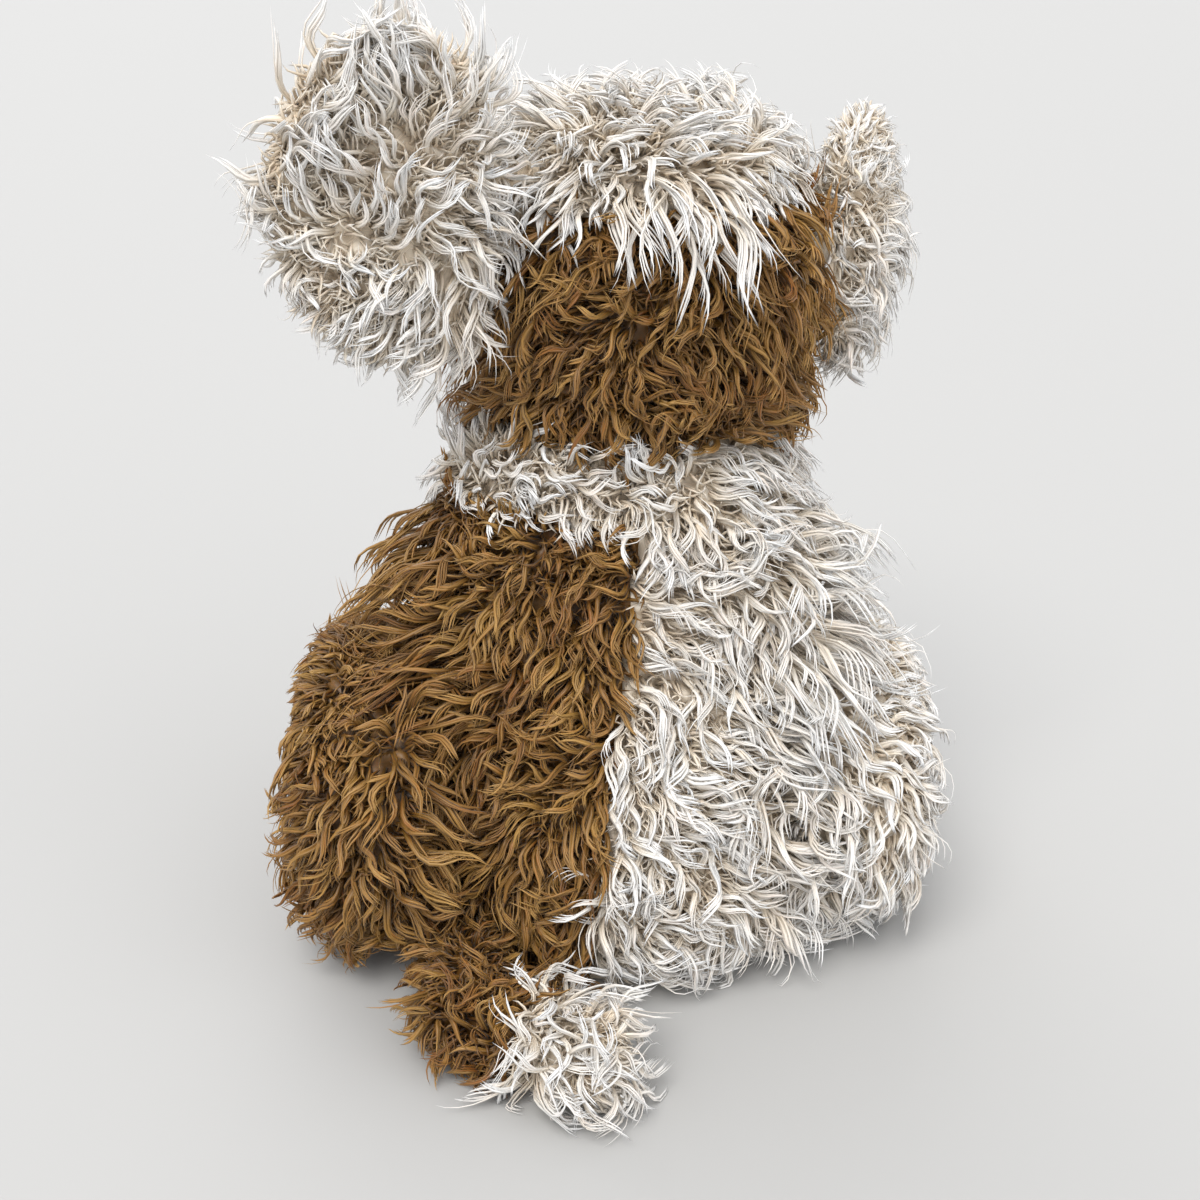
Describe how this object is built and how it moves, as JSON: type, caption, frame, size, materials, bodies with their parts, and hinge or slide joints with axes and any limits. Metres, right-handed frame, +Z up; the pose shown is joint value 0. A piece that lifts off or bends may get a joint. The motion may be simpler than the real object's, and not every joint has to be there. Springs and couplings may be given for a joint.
{
  "type": "jointed plush puppy",
  "caption": "Sitting long-pile plush puppy with a turning head, swinging ears and tail, and disc-jointed front and hind legs.",
  "frame": {"origin": "middle of the flat base that the puppy sits on", "axes": "+Z up from the base to the crown, -Y the way the body faces, +X the puppy's left"},
  "size_m": [0.216, 0.237, 0.316],
  "materials": {
    "brown_plush": "long wavy golden-brown pile on a woven backing",
    "cream_plush": "long wavy cream pile with silvery tips on a woven backing",
    "stuffing": "loose packed filling",
    "hardboard": "pressed board joint discs",
    "steel": "plain steel split pins and washers",
    "eye_washer": "plain plastic lock washers",
    "felt": "short felt",
    "eye": "polished dark brown dome",
    "thread": "satin-stitched dark thread"
  },
  "bodies": {
    "torso": {"torso_stuffing": "stuffing", "back_panel_left": "brown_plush", "back_panel_right": "cream_plush", "shoulder_yoke": "cream_plush", "chest_panel": "cream_plush", "base_panel": "cream_plush", "neck_body_disc": "hardboard", "neck_pin": "steel", "body_washers": "steel", "left_shoulder_body_disc": "hardboard", "left_shoulder_pin": "steel", "left_hip_body_disc": "hardboard", "left_hip_pin": "steel", "right_shoulder_body_disc": "hardboard", "right_shoulder_pin": "steel", "right_hip_body_disc": "hardboard", "right_hip_pin": "steel"},
    "head": {"head_back_panel": "brown_plush", "crown_panel": "cream_plush", "face_panel": "cream_plush", "muzzle_panel": "cream_plush", "head_stuffing": "stuffing", "nose": "thread", "mouth_stitches": "thread", "left_eye": "eye", "right_eye": "eye", "eye_washers": "eye_washer", "neck_limb_disc": "hardboard", "neck_limb_washer": "steel", "left_ear_web": "cream_plush", "right_ear_web": "cream_plush"},
    "tail": {"tail_base_cover": "brown_plush", "tail_tip_cover": "cream_plush", "tail_stuffing": "stuffing"},
    "left_ear": {"left_ear_outer": "cream_plush", "left_ear_lining": "cream_plush"},
    "left_front_leg": {"left_front_leg_cover": "cream_plush", "left_front_leg_stuffing": "stuffing", "left_front_paw_pad": "felt", "left_shoulder_limb_disc": "hardboard", "left_shoulder_limb_washer": "steel"},
    "left_hind_leg": {"left_hind_leg_cover": "brown_plush", "left_hind_leg_stuffing": "stuffing", "left_hind_paw_pad": "felt", "left_hip_limb_disc": "hardboard", "left_hip_limb_washer": "steel"},
    "right_ear": {"right_ear_outer": "cream_plush", "right_ear_lining": "cream_plush"},
    "right_front_leg": {"right_front_leg_cover": "cream_plush", "right_front_leg_stuffing": "stuffing", "right_front_paw_pad": "felt", "right_shoulder_limb_disc": "hardboard", "right_shoulder_limb_washer": "steel"},
    "right_hind_leg": {"right_hind_leg_cover": "cream_plush", "right_hind_leg_stuffing": "stuffing", "right_hind_paw_pad": "felt", "right_hip_limb_disc": "hardboard", "right_hip_limb_washer": "steel"}
  },
  "joints": [
    {"name": "neck_turn", "type": "hinge", "parent": "torso", "child": "head", "pos_m": [0, -0.012, 0.188], "axis": [0, 0, 1], "continuous": true},
    {"name": "left_ear_swing", "type": "hinge", "parent": "head", "child": "left_ear", "pos_m": [0.03796, 0.02648, 0.268], "axis": [0, 0, 1], "range_deg": [-55, 35]},
    {"name": "right_ear_swing", "type": "hinge", "parent": "head", "child": "right_ear", "pos_m": [-0.06746, -0.01189, 0.241], "axis": [0, 0, 1], "range_deg": [-75, 15]},
    {"name": "left_shoulder_swing", "type": "hinge", "parent": "torso", "child": "left_front_leg", "pos_m": [0.02615, -0.03, 0.125], "axis": [1, 0, 0], "range_deg": [-65, 0]},
    {"name": "right_shoulder_swing", "type": "hinge", "parent": "torso", "child": "right_front_leg", "pos_m": [-0.02615, -0.03, 0.125], "axis": [1, 0, 0], "range_deg": [-65, 0]},
    {"name": "left_hip_swing", "type": "hinge", "parent": "torso", "child": "left_hind_leg", "pos_m": [0.06215, -0.002, 0.058], "axis": [1, 0, 0], "range_deg": [-20, 90]},
    {"name": "right_hip_swing", "type": "hinge", "parent": "torso", "child": "right_hind_leg", "pos_m": [-0.06215, -0.002, 0.058], "axis": [1, 0, 0], "range_deg": [-20, 90]},
    {"name": "tail_swing", "type": "hinge", "parent": "torso", "child": "tail", "pos_m": [0.05, 0.066, 0.016], "axis": [0, 0, 1], "range_deg": [-45, 20]}
  ]
}
